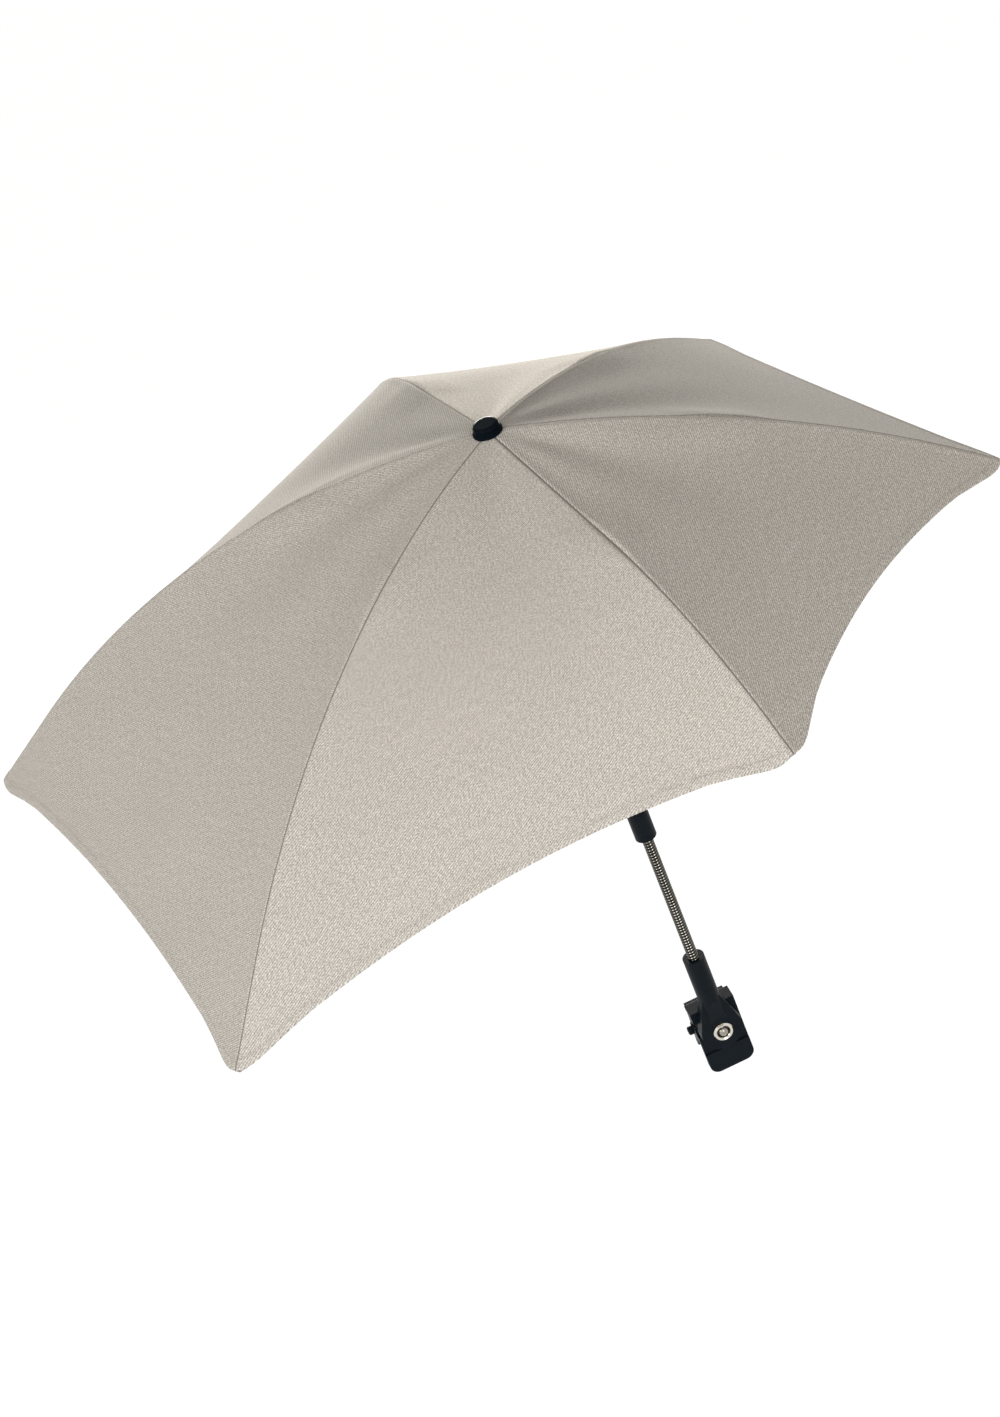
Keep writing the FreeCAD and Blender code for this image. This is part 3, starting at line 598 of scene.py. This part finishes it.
def mixed(nodes, links, factor, first, second, mode="MIX"):
    node = nodes.new("ShaderNodeMix")
    node.data_type = "RGBA"
    node.blend_type = mode
    for socket, value in zip((node.inputs[0], node.inputs[6], node.inputs[7]), (factor, first, second)):
        if isinstance(value, (int, float)):
            socket.default_value = value
        elif isinstance(value, tuple):
            socket.default_value = (*value, 1)
        else:
            links.new(value, socket)
    return node.outputs[2]


def noise(nodes, links, vector, scale, detail, rough):
    node = add(nodes, "ShaderNodeTexNoise", Scale=scale, Detail=detail, Roughness=rough)
    links.new(vector, node.inputs["Vector"])
    return node.outputs["Fac"]


def stretched(nodes, links, vector, scale):
    node = nodes.new("ShaderNodeMapping")
    node.inputs["Scale"].default_value = scale
    links.new(vector, node.inputs[0])
    return node.outputs[0]


def vector_math(nodes, links, operation, first, second):
    node = nodes.new("ShaderNodeVectorMath")
    node.operation = operation
    for socket, value in zip(node.inputs, (first, second)):
        if isinstance(value, tuple):
            socket.default_value = value
        else:
            links.new(value, socket)
    return node.outputs


def split(nodes, links, vector):
    node = nodes.new("ShaderNodeSeparateXYZ")
    links.new(vector, node.inputs[0])
    return node.outputs


def object_place(nodes):
    return nodes.new("ShaderNodeTexCoord").outputs["Object"]


def roughen(nodes, links, shader, source, places, values):
    stops = [(place, (value,) * 3) for place, value in zip(places, values)]
    links.new(colour_ramp(nodes, links, source, stops), shader.inputs["Roughness"])


def add_bump(nodes, links, shader, height, strength, distance):
    bump = add(nodes, "ShaderNodeBump", Strength=strength, Distance=distance)
    links.new(height, bump.inputs["Height"])
    links.new(bump.outputs[0], shader.inputs["Normal"])
    return bump


# Mixed yarn with slubs, soft clouds and the twill's diagonal lines
def melange_colour(nodes, links, weave, fleck, wale):
    warp = noise(nodes, links, stretched(nodes, links, weave, WARP_STRETCH), WARP_SCALE, 1, 0.5)
    cloud = noise(nodes, links, weave, CLOUD_SCALE, 3, 0.55)
    colour = colour_ramp(nodes, links, fleck, FLECK_TONES)
    for source, tones in ((warp, SLUB_TONES), (cloud, CLOUD_TONES), (wale, WALE_TONES)):
        layer = colour_ramp(nodes, links, source, tones)
        colour = mixed(nodes, links, 1.0, colour, layer, "MULTIPLY")
    return colour


# Thin painted line on each seam, painted shadow on most ribs and a painted highlight on the rest, and a row
# of stitches along the hem
def sewn_lines(nodes, links, sewn, weave):
    away, run = split(nodes, links, sewn), split(nodes, links, weave)
    seam_paint = math_node(nodes, links, "LESS_THAN", away[0], PAINTED_LINE_HALF)
    off = math_node(nodes, links, "SUBTRACT", away[1], STITCH_AT)
    thread = math_node(nodes, links, "LESS_THAN", math_node(nodes, links, "ABSOLUTE", off), STITCH_HALF)
    dash = math_node(nodes, links, "FRACT", math_node(nodes, links, "DIVIDE", run[0], STITCH_PITCH))
    dash = math_node(nodes, links, "LESS_THAN", dash, STITCH_SHARE)
    thread = math_node(nodes, links, "MULTIPLY", thread, dash)
    thread = math_node(nodes, links, "MULTIPLY", thread, THREAD_SHADE)
    return math_node(nodes, links, "MULTIPLY", seam_paint, SEAM_SHADE), thread


# Melange twill: mixed yarn colours, diagonal wales, painted light and shade for each panel, painted lines
# along seams and stitched lines along hems
def twill_material():
    material, nodes, links, shader = new_material("melange_twill")
    weave = add(nodes, "ShaderNodeUVMap", uv_map="weave").outputs[0]
    sewn = add(nodes, "ShaderNodeUVMap", uv_map="sewn").outputs[0]
    fleck = noise(nodes, links, weave, FLECK_SCALE, 1, 0.5)
    wave = add(nodes, "ShaderNodeTexWave", Scale=WALE_SCALE, Distortion=0.8, Detail=2.0)
    wave.bands_direction = "DIAGONAL"
    links.new(weave, wave.inputs["Vector"])
    wale = wave.outputs["Fac"]
    # Yarn colour scaled by each panel's painted light and shade
    shade = nodes.new("ShaderNodeVectorMath")
    shade.operation = "SCALE"
    links.new(melange_colour(nodes, links, weave, fleck, wale), shade.inputs[0])
    links.new(add(nodes, "ShaderNodeAttribute", attribute_name="tone").outputs["Fac"], shade.inputs["Scale"])
    seam_paint, thread = sewn_lines(nodes, links, sewn, weave)
    stitched = mixed(nodes, links, thread, shade.outputs[0], SEAM_SHADOW_AND_STITCH)
    # Seam line colour of each rib, between painted highlight and painted shadow
    lit = add(nodes, "ShaderNodeAttribute", attribute_name="seam").outputs["Fac"]
    edge = colour_ramp(nodes, links, lit, [(0.0, SEAM_HIGHLIGHT), (1.0, SEAM_SHADOW_AND_STITCH)])
    links.new(mixed(nodes, links, seam_paint, stitched, edge), shader.inputs["Base Color"])
    height = math_node(nodes, links, "ADD", math_node(nodes, links, "MULTIPLY", wale, WALE_HEIGHT), fleck)
    add_bump(nodes, links, shader, height, *CLOTH_BUMP)
    roughen(nodes, links, shader, fleck, (0.2, 0.8), CLOTH_ROUGH)
    shader.inputs["Specular IOR Level"].default_value = CLOTH_SHINE
    shader.inputs["Sheen Weight"].default_value = CLOTH_SHEEN
    shader.inputs["Sheen Roughness"].default_value = SHEEN_ROUGH
    return material


# Cloth of the tip pockets, in the same yarn but with no sewn maps
def plain_cloth_material():
    material, nodes, links, shader = new_material("pocket_cloth")
    fleck = noise(nodes, links, object_place(nodes), POCKET_FLECK, 3, 0.65)
    links.new(colour_ramp(nodes, links, fleck, POCKET_TONES), shader.inputs["Base Color"])
    add_bump(nodes, links, shader, fleck, *POCKET_BUMP)
    shader.inputs["Roughness"].default_value = POCKET_ROUGH
    return material


# How far an edge is rubbed: most where the softened normal leaves the true one
def worn_edges(nodes, links, soft, patch):
    true = nodes.new("ShaderNodeNewGeometry").outputs["Normal"]
    corner = vector_math(nodes, links, "DOT_PRODUCT", soft, true)["Value"]
    worn = math_node(nodes, links, "SUBTRACT", 1.0, corner)
    worn = math_node(nodes, links, "MULTIPLY", math_node(nodes, links, "MULTIPLY", worn, EDGE_WEAR), patch)
    return math_node(nodes, links, "MINIMUM", worn, EDGE_WEAR_MOST)


# Moulded plastic with a fine spark-eroded surface and softened, slightly rubbed edges
def plastic_material(name, colour, rough, edge, shine):
    material, nodes, links, shader = new_material(name)
    place = object_place(nodes)
    grain = noise(nodes, links, place, PLASTIC_GRAIN, 2, 0.6)
    patch = noise(nodes, links, place, PLASTIC_PATCH, 4, 0.6)
    low, high = (tuple(c * k for c in colour) for k in PLASTIC_TONES)
    tone = colour_ramp(nodes, links, patch, [(0.3, low), (0.7, high)])
    soft = add(nodes, "ShaderNodeBevel", samples=EDGE_SAMPLES, Radius=EDGE_RADIUS).outputs[0]
    worn = worn_edges(nodes, links, soft, patch)
    links.new(mixed(nodes, links, worn, tone, edge), shader.inputs["Base Color"])
    roughen(nodes, links, shader, patch, (0.25, 0.75), [rough * k for k in PLASTIC_GLOSS])
    shader.inputs["Specular IOR Level"].default_value = shine
    bump = add_bump(nodes, links, shader, grain, *PLASTIC_BUMP)
    links.new(soft, bump.inputs["Normal"])
    return material


# Bare metal with a fine grain and soft patches
def metal_material(name, light, dark, rough, grain_scale):
    material, nodes, links, shader = new_material(name)
    place = object_place(nodes)
    patch = noise(nodes, links, place, METAL_PATCH, 4, 0.6)
    grain = noise(nodes, links, place, grain_scale, 3, 0.6)
    links.new(colour_ramp(nodes, links, patch, [(0.25, dark), (0.75, light)]), shader.inputs["Base Color"])
    roughen(nodes, links, shader, grain, (0.2, 0.8), [rough * k for k in METAL_GLOSS])
    add_bump(nodes, links, shader, grain, *METAL_BUMP)
    shader.inputs["Metallic"].default_value = 1.0
    return material


# Metal with tones along a measure, dulled in patches
def toned_metal(nodes, links, shader, measure, tones, patch, patch_tones, rough):
    tone = colour_ramp(nodes, links, measure, tones)
    dull = colour_ramp(nodes, links, patch, patch_tones)
    links.new(mixed(nodes, links, 1.0, tone, dull, "MULTIPLY"), shader.inputs["Base Color"])
    roughen(nodes, links, shader, patch, (0.2, 0.8), rough)
    shader.inputs["Metallic"].default_value = 1.0


# Wound steel strip, painted shade over most of each turn and a painted highlight on its upper flank
def neck_material():
    material, nodes, links, shader = new_material("wound_steel")
    groove = split(nodes, links, add(nodes, "ShaderNodeUVMap", uv_map="groove").outputs[0])
    patch = noise(nodes, links, object_place(nodes), NECK_PATCH, 4, 0.6)
    toned_metal(nodes, links, shader, groove[0], WINDING_SHADE_AND_HIGHLIGHT, patch, NECK_TONES, NECK_ROUGH)
    return material


# Nickel rivet: bright flared ring, painted shade in the groove, duller dome
def rivet_material():
    material, nodes, links, shader = new_material("rivet_nickel")
    place = object_place(nodes)
    face = vector_math(nodes, links, "MULTIPLY", place, (1.0, 0.0, 1.0))[0]
    away = vector_math(nodes, links, "DISTANCE", face, (0.0, 0.0, SWIVEL_Z))["Value"]
    share = math_node(nodes, links, "DIVIDE", away, RIVET_R)
    patch = noise(nodes, links, place, RIVET_PATCH, 3, 0.6)
    toned_metal(nodes, links, shader, share, RIVET_RINGS_GROOVE_SHADE, patch, RIVET_TONES, RIVET_ROUGH)
    return material


# Look of a solid, by its name
def node_look(name):
    if name in NODE_LOOKS:
        return NODE_LOOKS[name]
    if name.endswith("_pad"):
        return "rubber"
    for start, look in NAME_LOOKS:
        if name.startswith(start):
            return look
    return "plastic"


def dress_nodes(materials):
    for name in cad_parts:
        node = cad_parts[name]
        node.data.materials.clear()
        node.data.materials.append(materials[node_look(name)])


# Gores and tip pockets, each pair carried by its rib
def add_canopy(materials):
    ribs = rib_list()
    for k, rib in enumerate(ribs):
        left, right = ribs[k - 1], ribs[(k + 1) % len(ribs)]
        cloth = canopy_gore(rib, left, right, materials["cloth"])
        pocket = tip_pocket(rib, materials["pocket"])
        for piece in (cloth, pocket):
            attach(piece, "rib_" + rib["name"])
        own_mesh(cloth)
        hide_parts("canopy_" + rib["name"])
        width, length, area = gore_cut(rib, left, right)


# Two wound pieces that meet half-way between the two bends
def add_neck(materials):
    middle = (NECK_LOW_BEND + NECK_HIGH_BEND) / 2
    low = wound_neck("neck_wound_lower", ARM_TOP - NECK_IN, middle, materials["neck"])
    high = wound_neck("neck_wound_upper", middle, FERRULE_Z + NECK_IN - NECK_PITCH, materials["neck"])
    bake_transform(low)
    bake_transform(high)
    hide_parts("gooseneck_lower", "gooseneck_mid")
    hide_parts("gooseneck_upper")


# Share of rays that meet floor or surround straight, in gloss or through glass
def seen_rays(nodes, links):
    path = nodes.new("ShaderNodeLightPath")
    seen = math_node(nodes, links, "MAXIMUM", path.outputs["Is Camera Ray"], path.outputs["Is Glossy Ray"])
    return math_node(nodes, links, "MAXIMUM", seen, path.outputs["Is Transmission Ray"])


# Pale floor that stays near white where it is seen and still takes a shadow
def add_floor():
    material, nodes, links, shader = new_material("floor")
    shader.inputs["Base Color"].default_value = FLOOR_COLOUR
    shader.inputs["Roughness"].default_value = FLOOR_ROUGH
    white = add(nodes, "ShaderNodeEmission", Strength=FLOOR_WHITE)
    mix = nodes.new("ShaderNodeMixShader")
    links.new(math_node(nodes, links, "MULTIPLY", seen_rays(nodes, links), FLOOR_SEEN), mix.inputs[0])
    links.new(shader.outputs[0], mix.inputs[1])
    links.new(white.outputs[0], mix.inputs[2])
    links.new(mix.outputs[0], nodes["Material Output"].inputs[0])
    corners = [(x * FLOOR_HALF, y * FLOOR_HALF, FLOOR_Z) for x, y in ((-1, -1), (1, -1), (1, 1), (-1, 1))]
    floor = new_object("floor", corners, [(0, 1, 2, 3)], material)


def add_lamp(name, place, target, size, power, colour):
    lamp = bpy.data.lights.new(name, "AREA")
    lamp.energy = power
    lamp.size = size
    lamp.color = colour
    holder = bpy.data.objects.new(name, lamp)
    holder.location = place
    holder.rotation_euler = (Vector(target) - Vector(place)).to_track_quat("-Z", "Y").to_euler()
    bpy.context.scene.collection.objects.link(holder)


# Soft surround: bright from the front left, dark from the right, white where it is seen
def add_light():
    world = bpy.data.worlds.new("studio")
    bpy.context.scene.world = world
    world.use_nodes = True
    nodes, links = world.node_tree.nodes, world.node_tree.links
    around = nodes.new("ShaderNodeTexCoord").outputs["Generated"]
    way = vector_math(nodes, links, "DOT_PRODUCT", around, SURROUND_WAY)["Value"]
    share = math_node(nodes, links, "MULTIPLY_ADD", way, 0.5)
    share.node.inputs[2].default_value = 0.5
    glow = colour_ramp(nodes, links, share, SURROUND_TONES)
    seen = seen_rays(nodes, links)
    links.new(mixed(nodes, links, seen, glow, (1.0, 1.0, 1.0)), nodes["Background"].inputs["Color"])
    for lamp in LAMPS:
        add_lamp(*lamp)


def add_camera():
    forward = (CAMERA_LOOK - CAMERA_AT).normalized()
    level = forward.cross(Vector((0, 0, 1))).normalized()
    upright = level.cross(forward)
    roll = math.radians(CAMERA_ROLL)
    right = level * math.cos(roll) + upright * math.sin(roll)
    top = right.cross(forward)
    lens = bpy.data.cameras.new("camera")
    lens.lens = CAMERA_LENS
    lens.sensor_width = SENSOR_WIDTH
    lens.clip_end = CAMERA_FAR
    camera = bpy.data.objects.new("camera", lens)
    turn = Matrix((right, top, -forward)).transposed()
    camera.matrix_world = Matrix.Translation(CAMERA_AT) @ turn.to_4x4()
    bpy.context.scene.collection.objects.link(camera)
    bpy.context.scene.camera = camera


def make_materials():
    materials = {"cloth": twill_material(), "pocket": plain_cloth_material()}
    for look, values in PLASTICS.items():
        materials[look] = plastic_material(*values)
    for look, values in METALS.items():
        materials[look] = metal_material(*values)
    materials["rivet"] = rivet_material()
    materials["neck"] = neck_material()
    return materials


def main():
    bpy.context.scene.view_settings.view_transform = "Standard"
    materials = make_materials()
    dress_nodes(materials)
    add_canopy(materials)
    add_neck(materials)
    add_floor()
    add_light()
    add_camera()


main()
